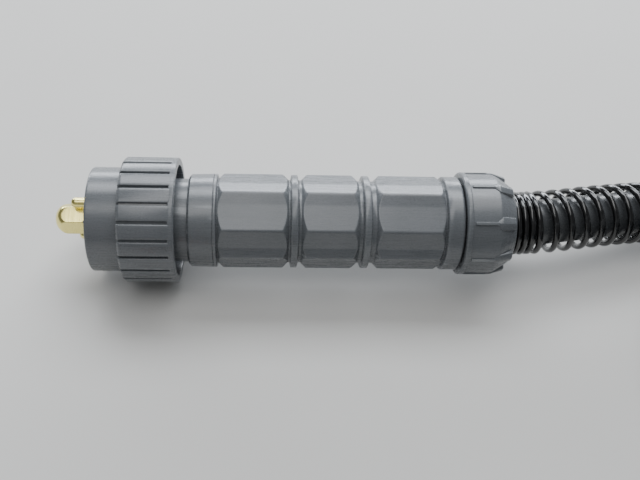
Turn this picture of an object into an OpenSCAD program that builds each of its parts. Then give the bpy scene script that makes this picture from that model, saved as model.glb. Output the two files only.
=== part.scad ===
// MIG welding torch, laid out with its connector along X.
// X = 0 is the front plane of the adapter nut, the cable leaves towards +X, and Z is up.

/* [Connector plug] */
// Radius of the brass spigot that enters the socket
spigot_r = 6.5; // [6.5:0.1:6.8]
// How far the spigot stands in front of the nut's front plane
spigot_out = 3; // [2:0.5:5]
// Radius of the wire passage through the plug
wire_bore_r = 2.6; // [2.2:0.1:3]
// Width across flats of the liner nut
liner_nut_af = 11.2; // [10:0.2:11.2]
// Length of the liner nut
liner_nut_len = 12; // [10:0.5:14]
// Radius of each control contact pin
pin_r = 2; // [1.6:0.1:2.2]
// Distance of each control pin from the plug's axis
pin_offset = 10; // [9.8:0.1:10.6]
// How far the control pins stand in front of the nut's front plane
pin_out = 7.5; // [5:0.5:9]
// Radius of the insulator barrel that carries the nut
barrel_r = 14; // [13.5:0.1:14.5]

/* [Adapter nut] */
// Radius of the nut over its ribs
nut_r = 25.5; // [24.5:0.1:27]
// Radius of the nut's smooth front ring
nut_ring_r = 21.2; // [20.6:0.1:22]
// Length of the nut
nut_len = 34.5; // [33:0.5:36]
// Length of the smooth front ring
nut_ring_len = 12.8; // [11:0.2:14]
// Number of grip ribs
nut_ribs = 22; // [16:1:28]
// Radius of the thread bore that takes the machine's socket
nut_thread_r = 17.8; // [17.2:0.1:18.2]

/* [Housing] */
// Radius of the housing over its ridges and bands
housing_r = 19.4; // [19:0.1:21]
// Radius at the bottom of the housing's long valleys
valley_r = 17.7; // [17.2:0.1:18.2]
// Radius of the housing's bore
housing_bore_r = 15; // [14.5:0.1:15.5]
// Where the housing's nose starts
nose_x = 38.8; // [38:0.2:40]
// Where the housing's body starts
body_x = 48.7; // [47:0.2:50]
// Where the housing's body ends
body_end_x = 149; // [145:1:160]
// Width of each cross rib
rib_w = 3; // [2:0.2:4]

/* [Collar and strain relief] */
// Radius of the collar nut over its ridges
collar_r = 21.4; // [20.5:0.1:22.5]
// Length of the collar nut
collar_len = 21.4; // [20:0.1:22]
// Radius of the spring wire
spring_wire_r = 1.3; // [1:0.1:1.5]
// Pitch of the open turns of the spring
spring_pitch = 6.6; // [5:0.2:8]

/* [Cable] */
// Radius of the cable
cable_r = 9.5; // [9:0.1:9.6]

/* [Torch handle] */
// Length of the handle
handle_len = 140; // [130:1:150]
// Width of the handle across its parting plane
handle_w = 40; // [38:0.5:44]
// Thickness of the handle
handle_t = 34; // [33:0.5:36]
// Wall of the handle shells
handle_wall = 2.6; // [2:0.1:3]
// Length of the trigger
trigger_len = 42; // [38:1:46]
// Width of the trigger
trigger_w = 13; // [11:0.5:15]

/* [Swan neck and nozzle] */
// Radius of the neck over its insulating jacket
neck_r = 9; // [8:0.1:10]
// Radius of the neck's bend at its centre line
neck_bend_r = 60; // [50:1:70]
// Angle of the neck's bend
neck_angle = 45; // [35:1:50]
// Outer radius of the gas nozzle
nozzle_r = 12.5; // [12:0.1:13]
// Length of the gas nozzle
nozzle_len = 72; // [66:1:78]
// Bore radius of the contact tip
tip_bore_r = 0.6; // [0.4:0.1:0.8]

/* [Hidden] */

$fn = 72;
eps = 0.01;
run = 0.05;
free = 0.4;
floor_z = -nut_r;

// Places along the plug
insulator_x = 8;
insulator_lip = 4;
insulator_lip_r = 16.6;
washer_t = 1.4;
nut_lip_t = 4;
flange_x = 28;
flange_r = 17;
pin_hole_len = 6;
pin_cavity_r = 2.8;
pin_collar_t = 2;
pin_cavity_x = insulator_x + pin_hole_len;
pin_collar_x = pin_cavity_x + free;
pin_spring_x = pin_collar_x + pin_collar_t;
terminal_x = flange_x - 1;
terminal_len = 10;
terminal_r = 1.8;
collar_in_x = flange_x + 3;
collar_out_x = flange_x + 7;
washer_x = insulator_x + insulator_lip + free;
nut_lip_x = washer_x + washer_t + 0.1;
plug_shoulder_r = spigot_r + 0.3;
// The pins clear the spigot and stay inside the barrel whatever their sizes are set to
pin_z = max(pin_offset, plug_shoulder_r + pin_cavity_r + free);
barrel_out_r = max(barrel_r, pin_z + pin_cavity_r + 1);
plug_collar_r = 12;
plug_tail_r = plug_shoulder_r;
plug_tail_end = 84;
liner_r = 2.2;
liner_bore_r = 1.1;
wire_z = pin_z + 1.3;
wire_r = 1.1;
sleeve_bore_r = wire_z + wire_r + 0.3;

// Places along the housing
panel_starts = [body_x + 1.5, body_x + 35.3, body_x + 65.2];
panel_ends = [body_x + 30.2, body_x + 58.5, body_end_x - 6.8];
rib_xs = [body_x + 32.5, body_x + 61.6];
core_r = 17;
house_screw_r = 1.4;
house_head_r = 2.6;
rear_neck_r = 15.6;
rear_neck_len = 12;
collar_x = body_end_x + 0.6;
collar_end_x = collar_x + collar_len;
spring_r = cable_r + 2.6;
seat_x = body_end_x - 10;
spring_x = body_end_x + 10.2;
spring_open_x = 181;
spring_close_x = 236;
spring_end_x = 242;
crimp_x = plug_tail_end - 8;
crimp_end_x = 118;

// The cable's resting line: out of the collar, along the floor and into the coil
run_route = [[150, 0, 0], [160, 0, 0], [170, 0.2, 0], [182, 0.9, 0], [195, 2.8, -0.3],
    [208, 5.4, -1], [222, 8.5, -2.6], [236, 12.2, -5.4], [250, 16.2, -9], [264, 20.5, -12.4],
    [278, 25.2, -14.9], [292, 30.2, -15.9], [302, 33.8, -16], [312.3, 37.7, -16]];
coil_x = 355;
coil_y = -68;
coil_r = 104.5;
tail_route = [[355, -182, 3], [346, -182.2, 3], [336, -183, 3], [326, -184.2, 2.2],
    [316, -185, 0.2], [306, -185, -2.9], [297, -184.3, -6], [289, -183.2, -8], [281, -182.3, -8.5],
    [270, -182, -8.5], [258, -182, -8.5], [246, -182, -8.5]];

// Places of the torch end, which lies on its side
hand_y = -182;
hand_z = floor_z + handle_t / 2;
hand_rear = 255;
hand_front = hand_rear - handle_len;
boot_len = 30;
boot_sleeve_r = cable_r + 3.2;
clamp_x = hand_rear - 55;
clamp_end_x = 246;
corner_r = 12;
neck_straight = 30;
neck_tube_r = 6;
pivot_x = hand_front + 16;
pivot_y = hand_y - handle_w / 2 + 6.5;
pivot_r = 1.5;
trigger_out = 6;
switch_x = pivot_x + 24;
plunger_r = 2;
screw_r = 1.2;
screw_head_r = 2.2;
screw_y = handle_w / 2 - 5.2;
screw_top = 10;
screw_xs = [hand_front + 13, hand_front + 74, hand_rear - 14];

function flat(lists) = [for (l = lists) each l];
function unit(v) = v / norm(v);

// A smooth point on a route, between its points i and i + 1
function spline(p, i, t) =
    let (n = len(p) - 1)
    let (a = p[max(i - 1, 0)])
    let (b = p[i])
    let (c = p[min(i + 1, n)])
    let (d = p[min(i + 2, n)])
    0.5 * (2 * b + (c - a) * t + (2 * a - 5 * b + 4 * c - d) * t * t
        + (3 * b - a - 3 * c + d) * t * t * t);
function along(p, s) =
    let (u = max(0, min(s, 1)) * (len(p) - 1))
    let (i = min(floor(u), len(p) - 2))
    spline(p, i, u - i);
function heading(p, s) = unit(along(p, s + 0.004) - along(p, s - 0.004));
function side_of(d) = unit(cross([0, 0, 1], d));
function over_of(d) = cross(d, side_of(d));

module turned(points) {
    rotate([0, 90, 0]) rotate_extrude() polygon(points);
}

module rod(r, x0, x1) {
    translate([x0, 0, 0]) rotate([0, 90, 0]) cylinder(r = r, h = x1 - x0);
}

module ring(r_out, r_in, x0, x1) {
    difference() {
        rod(r_out, x0, x1);
        rod(r_in, x0 - 1, x1 + 1);
    }
}

// Closed tube through rings of points, each ring a list of the same length
module skin(rings) {
    n = len(rings[0]);
    m = len(rings);
    sides = [for (i = [0:m - 2]) for (j = [0:n - 1])
        [i * n + j, i * n + (j + 1) % n, (i + 1) * n + (j + 1) % n, (i + 1) * n + j]];
    first = [[for (j = [0:n - 1]) n - 1 - j]];
    last = [[for (j = [0:n - 1]) (m - 1) * n + j]];
    polyhedron(flat(rings), concat(sides, first, last), convexity = 8);
}

module tube(route, r, rings, sides) {
    skin([for (i = [0:rings])
        let (s = i / rings)
        let (p = along(route, s))
        let (d = i == 0 ? unit(route[1] - route[0])
            : i == rings ? unit(route[len(route) - 1] - route[len(route) - 2]) : heading(route, s))
        [for (j = [0:sides - 1])
            p + r * (cos(j * 360 / sides) * side_of(d) - sin(j * 360 / sides) * over_of(d))]]);
}

// ---- Plug ----

module plug_body() {
    color("gold") difference() {
        turned([[0, -spigot_out], [spigot_r - 0.6, -spigot_out], [spigot_r, -spigot_out + 0.6],
            [spigot_r, 3], [spigot_r - 1.1, 3], [spigot_r - 1.1, 5.2], [spigot_r, 5.2],
            [spigot_r, insulator_x], [plug_shoulder_r, insulator_x],
            [plug_shoulder_r, collar_in_x], [plug_collar_r, collar_in_x],
            [plug_collar_r, collar_out_x], [plug_tail_r, collar_out_x],
            [plug_tail_r, plug_tail_end], [0, plug_tail_end]]);
        rod(wire_bore_r, -spigot_out - 1, plug_tail_end + 1);
        for (side = [-1, 1]) translate([0, 0, side * pin_z])
            rod(terminal_r + free, collar_in_x - 1, collar_out_x + 1);
    }
}

module spigot_o_ring() {
    color("black") translate([4.1, 0, 0]) rotate([0, 90, 0])
        rotate_extrude() translate([spigot_r - 0.2, 0]) circle(r = 0.85, $fn = 24);
}

module liner_nut() {
    tip_x = -spigot_out - liner_nut_len;
    color("khaki") difference() {
        intersection() {
            translate([tip_x, 0, 0]) rotate([0, 90, 0]) rotate(-7)
                cylinder(r = liner_nut_af / 2 / cos(30), h = liner_nut_len, $fn = 6);
            turned([[0, tip_x], [2.4, tip_x], [4.2, tip_x + 0.8], [5.5, tip_x + 2.2],
                [6.2, tip_x + 3.8], [6.6, tip_x + 5.5], [6.6, -spigot_out], [0, -spigot_out]]);
        }
        rod(liner_r + run, tip_x + 2, 0);
        rod(liner_bore_r, tip_x - 1, 0);
    }
}

module wire_liner() {
    color("silver") ring(liner_r, liner_bore_r, -spigot_out - liner_nut_len + 2, 116);
}

module plug_insulator() {
    color("dimgray") difference() {
        turned([[0, insulator_x], [insulator_lip_r, insulator_x],
            [insulator_lip_r, insulator_x + insulator_lip], [barrel_out_r, insulator_x + insulator_lip],
            [barrel_out_r, flange_x], [0, flange_x]]);
        rod(plug_shoulder_r, insulator_x - 1, flange_x + 1);
        for (side = [-1, 1]) translate([0, 0, side * pin_z]) {
            rod(pin_r + run, insulator_x - 1, flange_x);
            rod(pin_cavity_r, pin_cavity_x, flange_x + 1);
        }
    }
}

module contact_pin(side) {
    color("khaki") translate([0, 0, side * pin_z]) turned([[0, -pin_out], [pin_r - 0.7, -pin_out],
        [pin_r, -pin_out + 0.8], [pin_r, pin_collar_x], [pin_cavity_r - 0.3, pin_collar_x],
        [pin_cavity_r - 0.3, pin_spring_x], [0, pin_spring_x]]);
}

module contact_pin_top() contact_pin(1);
module contact_pin_bottom() contact_pin(-1);

module contact_spring(side) {
    turns = 6;
    r = pin_cavity_r - 0.75;
    length = terminal_x - pin_spring_x;
    color("silver") translate([0, 0, side * pin_z]) for (i = [0:turns - 1])
        translate([pin_spring_x + length * (i + 0.5) / turns, 0, 0]) rotate([0, 90, 0])
            rotate_extrude() translate([r, 0]) circle(r = 0.3, $fn = 16);
}

module contact_spring_top() contact_spring(1);
module contact_spring_bottom() contact_spring(-1);

module contact_terminals() {
    color("gold") for (side = [-1, 1]) translate([0, 0, side * pin_z]) {
        rod(pin_cavity_r - 0.1, terminal_x, flange_x + 1.5);
        rod(terminal_r, flange_x + 1, terminal_x + terminal_len);
    }
}

module control_wires() {
    start = terminal_x + terminal_len;
    color("firebrick") for (side = [-1, 1]) translate([0, 0, side * wire_z])
        rod(wire_r, start, crimp_end_x - 2);
}

// ---- Adapter nut ----

module adapter_nut() {
    groove_w = 1.3;
    groove_d = 1.2;
    color("slategray") difference() {
        turned([[nut_thread_r + 0.8, 0], [nut_ring_r - 2, 0], [nut_ring_r, 2],
            [nut_ring_r, nut_ring_len], [nut_r - 1, nut_ring_len], [nut_r, nut_ring_len + 1.2],
            [nut_r, nut_len - 0.4], [nut_r - 0.4, nut_len], [nut_r - 3, nut_len],
            [nut_r - 3, nut_lip_x + nut_lip_t], [barrel_out_r + run, nut_lip_x + nut_lip_t],
            [barrel_out_r + run, nut_lip_x], [nut_thread_r, nut_lip_x], [nut_thread_r, 0.8]]);
        for (i = [0:nut_ribs - 1]) rotate([360 / nut_ribs * i + 10.3, 0, 0])
            translate([nut_ring_len - 1, -groove_w / 2, nut_r - groove_d])
                cube([nut_len - nut_ring_len - 1.2, groove_w, 4]);
    }
}

module thrust_washer() {
    color("silver") ring(nut_thread_r - 0.5, barrel_out_r + run, washer_x, washer_x + washer_t);
}

// ---- Housing ----

module plug_flange() {
    sleeve_end = body_x - 1;
    color("slategray") difference() {
        turned([[0, flange_x], [flange_r - 0.8, flange_x], [flange_r, flange_x + 0.8],
            [flange_r, nose_x], [housing_bore_r, nose_x], [housing_bore_r, sleeve_end],
            [0, sleeve_end]]);
        rod(plug_tail_r + run, flange_x - 1, sleeve_end + 1);
        rod(plug_collar_r, collar_in_x, collar_out_x);
        rod(sleeve_bore_r, nose_x - 1, sleeve_end + 1);
        for (side = [-1, 1]) translate([0, 0, side * pin_z])
            rod(pin_cavity_r, flange_x - 1, nose_x);
        at_screws() cylinder(r = house_screw_r, h = housing_r);
    }
}

// Two screws on the underside and the back, running in towards the axis
module at_screws() {
    for (lean = [-90, 180]) rotate([lean, 0, 0]) translate([(nose_x + body_x) / 2, 0, 0])
        rotate([0, 0, 90]) children();
}

module housing_nose() {
    color("slategray") difference() {
        turned([[housing_bore_r, nose_x], [housing_r - 1.4, nose_x],
            [housing_r - 0.5, nose_x + 0.9], [housing_r - 0.2, body_x], [housing_bore_r, body_x]]);
        at_screws() cylinder(r = house_screw_r, h = housing_r);
        at_screws() translate([0, 0, housing_r - 2.6]) cylinder(r = house_head_r + 0.2, h = 5);
    }
}

// Half the panels' section as angle and radius: ridges, with valleys between them
half_section = [[0, housing_r], [12, valley_r], [41, housing_r], [71, valley_r], [94, housing_r],
    [109, valley_r], [142, housing_r], [168, valley_r]];

module panel(x0, x1) {
    slope = housing_r - core_r;
    rim_r = housing_r + eps;
    intersection() {
        translate([x0, 0, 0]) rotate([90, 0, 90]) linear_extrude(x1 - x0)
            polygon([for (half = [0, 180]) for (p = half_section)
                [p[1] * cos(p[0] + half), p[1] * sin(p[0] + half)]]);
        turned([[0, x0], [core_r, x0], [rim_r, x0 + slope], [rim_r, x1 - slope], [core_r, x1],
            [0, x1]]);
    }
}

module housing_body() {
    color("slategray") difference() {
        union() {
            rod(core_r, body_x, body_end_x);
            rod(housing_r - 0.2, body_x, panel_starts[0]);
            for (i = [0:2]) panel(panel_starts[i], panel_ends[i]);
            for (x = rib_xs) rod(housing_r - 0.2, x - rib_w / 2, x + rib_w / 2);
            turned([[0, panel_ends[2]], [housing_r, panel_ends[2]], [housing_r, body_end_x - 0.6],
                [housing_r - 0.6, body_end_x], [0, body_end_x]]);
            rod(rear_neck_r, body_end_x - 1, body_end_x + rear_neck_len);
        }
        rod(housing_bore_r, body_x - 1, body_end_x - 10);
        rod(spring_r + spring_wire_r + 0.4, body_end_x - 20, body_end_x + rear_neck_len + 1);
    }
}

module housing_screws() {
    color("silver") at_screws() difference() {
        union() {
            translate([0, 0, sleeve_bore_r + 0.3])
                cylinder(r = house_screw_r, h = housing_r - 2.9 - sleeve_bore_r);
            translate([0, 0, housing_r - 2.6]) cylinder(r = house_head_r, h = 1.8);
        }
        translate([0, 0, housing_r - 1.8]) cylinder(r = 1, h = 3, $fn = 6);
    }
}

module spring_seat() {
    seat_r = spring_r + spring_wire_r + 0.3;
    color("black") ring(seat_r, cable_r, seat_x, spring_x - spring_wire_r);
}

module collar_nut() {
    flat_x = collar_x + 2;
    taper_x = collar_x + 11.7;
    mouth_r = spring_r + spring_wire_r + 0.4;
    color("slategray") difference() {
        union() {
            intersection() {
                translate([flat_x - 0.5, 0, 0]) rotate([0, 90, 0]) rotate(40)
                    cylinder(r = collar_r - 0.2, h = collar_end_x - flat_x + 0.5, $fn = 8);
                turned([[0, collar_x], [collar_r + 2, collar_x], [collar_r + 2, taper_x - 3],
                    [mouth_r + 1.4, collar_end_x], [mouth_r + 1.4, collar_end_x + 1],
                    [0, collar_end_x + 1]]);
            }
            turned([[0, collar_x], [collar_r - 0.6, collar_x], [collar_r, collar_x + 0.6],
                [collar_r, flat_x], [0, flat_x]]);
        }
        rod(rear_neck_r + run, collar_x - 1, body_end_x + rear_neck_len + 0.5);
        rod(mouth_r, collar_x - 1, collar_end_x + 1);
    }
}

// Spring turns as a function of x: closed at both ends, open between
spring_closed_pitch = 2 * spring_wire_r + 0.15;
function spring_turn(x) =
    x < spring_open_x ? (x - spring_x) / spring_closed_pitch
    : x < spring_close_x ? (spring_open_x - spring_x) / spring_closed_pitch
        + (x - spring_open_x) / spring_pitch
    : (spring_open_x - spring_x) / spring_closed_pitch
        + (spring_close_x - spring_open_x) / spring_pitch
        + (x - spring_close_x) / spring_closed_pitch;
function spring_x_at(turn) =
    let (a = (spring_open_x - spring_x) / spring_closed_pitch)
    let (b = a + (spring_close_x - spring_open_x) / spring_pitch)
    turn < a ? spring_x + turn * spring_closed_pitch
    : turn < b ? spring_open_x + (turn - a) * spring_pitch
    : spring_close_x + (turn - b) * spring_closed_pitch;

// Share of the run route at which the cable reaches x, where x rises all the way
function share_at(x, lo = 0, hi = 1, n = 14) =
    n == 0 ? (lo + hi) / 2
    : along(run_route, (lo + hi) / 2)[0] < x ? share_at(x, (lo + hi) / 2, hi, n - 1)
    : share_at(x, lo, (lo + hi) / 2, n - 1);
function helix_point(turn) =
    let (s = share_at(spring_x_at(turn)))
    let (d = heading(run_route, s))
    along(run_route, s)
        + spring_r * (cos(turn * 360) * side_of(d) + sin(turn * 360) * over_of(d));

module strain_relief_spring() {
    per_turn = 12;
    sides = 6;
    turns = spring_turn(spring_end_x);
    steps = floor(turns * per_turn);
    color("black") skin([for (i = [0:steps])
        let (t = turns * i / steps)
        let (p = helix_point(t))
        let (d = unit(helix_point(min(t + 0.02, turns)) - helix_point(max(t - 0.02, 0))))
        let (s = share_at(spring_x_at(t)))
        let (out = unit(p - along(run_route, s)))
        let (w = unit(cross(d, out)))
        [for (j = [0:sides - 1])
            p + spring_wire_r * (cos(j * 360 / sides) * out - sin(j * 360 / sides) * w)]]);
}

// ---- Inside the housing ----

module union_nut() {
    union_x = flange_x + 30;
    union_len = 14;
    color("gold") difference() {
        translate([union_x, 0, 0]) rotate([0, 90, 0])
            cylinder(r = wire_z - wire_r - free, h = union_len, $fn = 6);
        rod(plug_tail_r, union_x - 1, union_x + union_len + 1);
    }
}

module cable_crimp() {
    color("goldenrod") difference() {
        turned([[0, crimp_x], [9, crimp_x], [9, crimp_x + 6], [8.4, crimp_x + 8],
            [8.4, crimp_end_x], [0, crimp_end_x]]);
        rod(plug_tail_r, crimp_x - 1, plug_tail_end);
        rod(liner_r + run, crimp_x, crimp_end_x + 1);
    }
}

module cable_end() {
    color("black") rod(cable_r, crimp_end_x, run_route[0][0]);
}

// ---- Cable ----

module cable_run() {
    color("black") tube(run_route, cable_r, 26, 12);
}

module cable_coil() {
    half = cable_r * 2;
    round_r = 5;
    color("black") translate([coil_x, coil_y, floor_z]) rotate_extrude() difference() {
        union() {
            translate([coil_r - half + round_r, 0]) square([2 * (half - round_r), 2 * half]);
            translate([coil_r - half, round_r]) square([2 * half, 2 * (half - round_r)]);
            for (x = [-1, 1]) for (y = [-1, 1])
                translate([coil_r + x * (half - round_r), half + y * (half - round_r)])
                    circle(r = round_r, $fn = 32);
        }
    }
}

module cable_tail() {
    color("black") tube(tail_route, cable_r, 14, 12);
}

module coil_ties() {
    half = 2 * cable_r + 1.2;
    gap = 2 * cable_r + 0.1;
    color("dimgray") for (turn = [35, 155, 215]) translate([coil_x, coil_y, floor_z + 2 * cable_r])
        rotate([0, 0, turn]) translate([coil_r, 0, 0]) difference() {
            translate([-half, -4, -2 * cable_r]) cube([2 * half, 8, 4 * cable_r + 1.2]);
            translate([-gap, -5, -gap]) cube([2 * gap, 10, 2 * gap]);
        }
}

// ---- Torch handle ----

module at_hand() {
    translate([0, hand_y, hand_z]) children();
}

module handle_outline(inset) {
    w = handle_w / 2 - inset;
    t = handle_t / 2 - inset;
    c = corner_r - inset;
    square([2 * w, 2 * (t - c)], center = true);
    square([2 * (w - c), 2 * t], center = true);
    for (x = [-1, 1]) for (y = [-1, 1])
        translate([x * (w - c), y * (t - c)]) circle(r = c, $fn = 48);
}

module handle_solid(inset, x0, x1) {
    translate([x0, 0, 0]) rotate([90, 0, 90]) linear_extrude(x1 - x0) handle_outline(inset);
}

module handle_shell(up) {
    keep = handle_t / 2 + 1;
    boss_z = trigger_w / 2 + 0.6;
    boss_end = handle_t / 2 - handle_wall - 1;
    color("slategray") at_hand() difference() {
        handle_solid(0, hand_front, hand_rear);
        handle_solid(handle_wall, hand_front + 5, hand_rear - 5);
        translate([hand_front - 1, -handle_w, up ? -keep : 0])
            cube([handle_len + 2, 2 * handle_w, keep]);
        rod(neck_r + 3, hand_front - 1, hand_front + 8);
        rod(boot_sleeve_r, hand_rear - 8, hand_rear + 1);
        translate([pivot_x - 5, -handle_w / 2 - 1, -trigger_w / 2 - 0.5])
            cube([trigger_len + 8, 12, trigger_w + 1]);
        for (x = screw_xs) translate([x, screw_y, up ? screw_top : -keep])
            cylinder(r = screw_head_r + 0.2, h = up ? keep : 0.5);
    }
    color("slategray") at_hand() for (x = screw_xs) translate([x, screw_y, 0])
        difference() {
            translate([0, 0, up ? 0 : -screw_top]) cylinder(r = screw_r + 1.8, h = screw_top);
            cylinder(r = screw_r, h = handle_t, center = true);
            translate([0, 0, screw_top - 2]) cylinder(r = screw_head_r, h = 5);
        }
    color("slategray") at_hand() translate([pivot_x, pivot_y - hand_y, 0]) difference() {
        translate([0, 0, up ? boss_z : -boss_end]) cylinder(r = pivot_r + 1.7, h = boss_end - boss_z);
        cylinder(r = pivot_r, h = handle_t, center = true);
    }
}

module handle_shell_upper() handle_shell(true);
module handle_shell_lower() handle_shell(false);

module handle_screws() {
    color("silver") at_hand() for (x = screw_xs) translate([x, screw_y, 0]) difference() {
        union() {
            translate([0, 0, 1 - screw_top]) cylinder(r = screw_r, h = 2 * screw_top - 3);
            translate([0, 0, screw_top - 2]) cylinder(r = screw_head_r, h = 1.8);
        }
        translate([0, 0, screw_top - 1.4]) cylinder(r = 1, h = 3, $fn = 6);
    }
}

module handle_boot() {
    color("black") at_hand() difference() {
        turned([[0, hand_rear - 7], [boot_sleeve_r, hand_rear - 7], [boot_sleeve_r, hand_rear],
            [boot_sleeve_r + 2, hand_rear], [boot_sleeve_r + 2, hand_rear + 4],
            [cable_r + 2, hand_rear + boot_len], [0, hand_rear + boot_len]]);
        rod(cable_r, hand_rear - 8, hand_rear + boot_len + 1);
    }
}

module cable_clamp() {
    color("goldenrod") at_hand() difference() {
        rod(cable_r - 0.5, clamp_x, clamp_end_x);
        rod(liner_r, clamp_x - 1, clamp_end_x + 1);
    }
}

module neck_connector() {
    start = hand_front + 26;
    color("gold") at_hand() difference() {
        rod(8, start, clamp_x);
        rod(liner_r, start - 1, clamp_x + 1);
    }
}

module neck_collar() {
    color("dimgray") at_hand() turned([[neck_r, hand_front - 8], [neck_r + 2, hand_front - 8],
        [neck_r + 5, hand_front], [neck_r + 2.9, hand_front], [neck_r + 2.9, hand_front + 7],
        [neck_r, hand_front + 7]]);
}

// The trigger turns about its front pin, and its outer face stands out of the handle
module trigger() {
    y_out = hand_y - handle_w / 2 - trigger_out;
    y_in = hand_y - handle_w / 2 + 2.5;
    color("crimson") difference() {
        translate([0, 0, hand_z - trigger_w / 2]) linear_extrude(trigger_w) union() {
            translate([pivot_x, pivot_y]) circle(r = 4);
            polygon([[pivot_x - 4, pivot_y], [pivot_x - 3.5, y_out + 7], [pivot_x + 3, y_out + 1.6],
                [pivot_x + 12, y_out + 1.2], [pivot_x + 24, y_out + 2], [pivot_x + 34, y_out],
                [pivot_x + trigger_len - 4, y_out + 1], [pivot_x + trigger_len - 2, y_in],
                [pivot_x + 6, y_in], [pivot_x + 4, pivot_y]]);
        }
        translate([pivot_x, pivot_y, hand_z]) cylinder(r = pivot_r + run, h = 40, center = true);
        translate([pivot_x, pivot_y, hand_z]) cylinder(r = 6, h = 5, center = true);
    }
}

module trigger_pin() {
    half = trigger_w / 2 + 4;
    color("silver") translate([pivot_x, pivot_y, hand_z - half])
        cylinder(r = pivot_r, h = 2 * half);
}

module trigger_spring() {
    color("silver") for (i = [-1, 0, 1]) translate([pivot_x, pivot_y, hand_z + i * 1.3])
        rotate_extrude() translate([pivot_r + 1, 0]) circle(r = 0.5, $fn = 16);
}

module switch_body() {
    color("black") at_hand() difference() {
        translate([switch_x - 9, -11, -5]) cube([20, 9, 10]);
        rotate([90, 0, 0]) translate([switch_x, 0, 6]) cylinder(r = plunger_r + run, h = 8);
        rod(8.4, switch_x - 40, switch_x + 40);
    }
}

module switch_plunger() {
    y_low = -handle_w / 2 + 2.9;
    color("crimson") at_hand() rotate([90, 0, 0]) translate([switch_x, 0, 10.2])
        cylinder(r = plunger_r, h = -y_low - 10.2);
}

// ---- Swan neck and nozzle ----

module neck_bend(r) {
    translate([hand_front - neck_straight, hand_y - neck_bend_r, hand_z]) rotate([0, 0, 90])
        rotate_extrude(angle = neck_angle) translate([neck_bend_r, 0]) circle(r = r, $fn = 48);
}

// Frame at the neck's end, with local X running out of the nozzle
module at_tip() {
    translate([hand_front - neck_straight - neck_bend_r * sin(neck_angle),
        hand_y - neck_bend_r * (1 - cos(neck_angle)), hand_z])
        rotate([0, 0, 180 + neck_angle]) children();
}

module neck_path(r, start, stop) {
    at_hand() rod(r, hand_front - neck_straight, start);
    neck_bend(r);
    at_tip() rod(r, 0, stop);
}

module swan_neck() {
    color("gold") difference() {
        neck_path(neck_tube_r, hand_front + 26, 14);
        neck_path(liner_r, hand_front + 27, 15);
    }
}

module neck_jacket() {
    color("black") difference() {
        neck_path(neck_r, hand_front + 20, 6);
        neck_path(neck_tube_r, hand_front + 21, 7);
    }
}

module nozzle_insulator() {
    color("saddlebrown") at_tip() ring(nozzle_r - 2.2, neck_tube_r, 6, 14);
}

module gas_diffuser() {
    color("goldenrod") at_tip() difference() {
        rod(8, 14, 32);
        rod(liner_r, 13, 33);
        for (turn = [0:60:300]) rotate([turn, 0, 0]) translate([26, 0, 0]) cylinder(r = 1, h = 12);
    }
}

module tip_holder() {
    color("gold") at_tip() difference() {
        rod(5.5, 32, 46);
        rod(liner_r, 31, 47);
    }
}

module contact_tip() {
    color("peru") at_tip() difference() {
        turned([[0, 46], [4, 46], [4, 68], [2.6, 74], [0, 74]]);
        rod(tip_bore_r, 45, 75);
    }
}

module nozzle_spring() {
    color("silver") at_tip() for (i = [0:4]) translate([16 + i * 1.5, 0, 0]) rotate([0, 90, 0])
        rotate_extrude() translate([8.6, 0]) circle(r = 0.6, $fn = 16);
}

module gas_nozzle() {
    tip_x = 8 + nozzle_len;
    bore_r = nozzle_r - 2.2 + run;
    color("peru") at_tip() turned([[bore_r, 8], [nozzle_r, 8], [nozzle_r, 8 + nozzle_len * 0.6],
        [nozzle_r - 2, 8 + nozzle_len * 0.75], [nozzle_r - 2, tip_x], [nozzle_r - 4, tip_x],
        [nozzle_r - 4, 8 + nozzle_len * 0.75], [bore_r, 8 + nozzle_len * 0.6]]);
}

plug_body();
spigot_o_ring();
liner_nut();
wire_liner();
plug_insulator();
contact_pin_top();
contact_pin_bottom();
contact_spring_top();
contact_spring_bottom();
contact_terminals();
control_wires();
adapter_nut();
thrust_washer();
plug_flange();
housing_nose();
housing_body();
housing_screws();
spring_seat();
collar_nut();
strain_relief_spring();
union_nut();
cable_crimp();
cable_end();
cable_run();
cable_coil();
cable_tail();
coil_ties();
handle_boot();
cable_clamp();
handle_shell_upper();
handle_shell_lower();
handle_screws();
neck_collar();
trigger();
trigger_pin();
trigger_spring();
switch_body();
switch_plunger();
neck_connector();
swan_neck();
neck_jacket();
nozzle_insulator();
gas_diffuser();
tip_holder();
contact_tip();
nozzle_spring();
gas_nozzle();
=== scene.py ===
"""MIG welding torch: the connector in the foreground, its cable, and the torch end beside the coil.

Lengths are in millimetres in the maker's tables and become metres when a mesh is made.
Angles round the connector's axis start at +Y and turn towards +Z.
"""

import math

import bmesh
import bpy
import numpy as np
from mathutils import Matrix, Vector


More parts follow.
